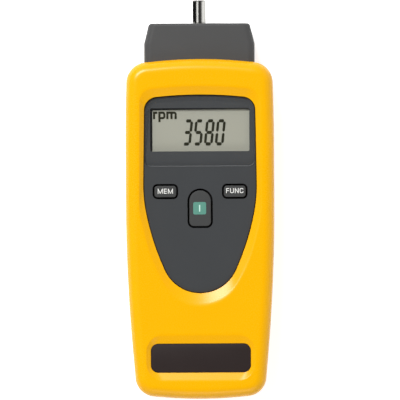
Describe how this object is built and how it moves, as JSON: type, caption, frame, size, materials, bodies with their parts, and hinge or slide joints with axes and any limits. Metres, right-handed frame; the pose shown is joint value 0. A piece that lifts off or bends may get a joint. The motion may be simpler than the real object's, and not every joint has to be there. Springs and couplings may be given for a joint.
{
  "type": "handheld tachometer",
  "caption": "Handheld tachometer: yellow moulded body with dark keypad panel and display, plug-on contact head with a spinning steel spindle, press keys and sliding battery door.",
  "frame": {"origin": "centre of the bounding box in X and Y, on the plane the rear face rests on", "axes": "+X to the right seen from the front, +Y along the body towards the spindle tip, +Z out of the front face"},
  "size_m": [0.06, 0.161, 0.028],
  "materials": {
    "case": "satin moulded yellow",
    "panel": "fine matt dark grey",
    "window": "clear acrylic",
    "display": "grey-green liquid crystal glass",
    "silicone": "silicone rubber",
    "board": "green solder mask",
    "chip": "black moulding compound",
    "steel": "bright steel",
    "nameplate": "dark satin",
    "optics_black": "matt black",
    "brass": "turned brass",
    "lens": "clear lens",
    "red_window": "red filter",
    "cell": "plain dark sleeve",
    "key": "matt grey key",
    "head": "matt grey",
    "spindle": "polished steel",
    "disc": "bright disc"
  },
  "bodies": {
    "instrument": {"front_case": "case", "rear_case": "case", "fascia": "panel", "display_window": "window", "display_glass": "display", "zebra_strips": "silicone", "circuit_board": "board", "controller_chip": "chip", "quartz_crystal": "steel", "board_screws": "steel", "case_screws": "steel", "nameplate": "nameplate", "sensor_block": "optics_black", "sensor_board": "board", "laser_module": "brass", "receiver_lens": "lens", "photodiode": "steel", "optical_window": "red_window", "battery_left": "cell", "battery_right": "cell", "spring_contacts": "steel", "plate_contacts": "steel", "mem_dome": "silicone", "func_dome": "silicone", "measure_dome": "silicone"},
    "contact_head": {"head_housing": "head", "front_bearing_outer": "steel", "rear_bearing_outer": "steel", "bearing_spacer": "brass", "bearing_retainer": "steel"},
    "spindle": {"contact_spindle": "spindle", "front_bearing_inner": "steel", "rear_bearing_inner": "steel", "target_disc": "disc", "spindle_clip": "steel"},
    "mem_key": {"mem_button": "key"},
    "func_key": {"func_button": "key"},
    "measure_key": {"measure_button": "key"},
    "battery_cover": {"battery_door": "case"}
  },
  "joints": [
    {"name": "head_pull", "type": "slide", "parent": "instrument", "child": "contact_head", "axis": [0, 1, 0], "range_m": [0, 0.03]},
    {"name": "spindle_spin", "type": "hinge", "parent": "contact_head", "child": "spindle", "pos_m": [0, 0.0645, 0.014], "axis": [0, 1, 0], "continuous": true},
    {"name": "mem_press", "type": "slide", "parent": "instrument", "child": "mem_key", "axis": [0, 0, -1], "range_m": [0, 0.0008], "stiffness_N_per_m": 1000, "deforming": ["mem_dome"]},
    {"name": "func_press", "type": "slide", "parent": "instrument", "child": "func_key", "axis": [0, 0, -1], "range_m": [0, 0.0008], "stiffness_N_per_m": 1000, "deforming": ["func_dome"]},
    {"name": "measure_press", "type": "slide", "parent": "instrument", "child": "measure_key", "axis": [0, 0, -1], "range_m": [0, 0.0008], "stiffness_N_per_m": 1000, "deforming": ["measure_dome"]},
    {"name": "battery_door_slide", "type": "slide", "parent": "instrument", "child": "battery_cover", "axis": [0, -1, 0], "range_m": [0, 0.062]}
  ]
}
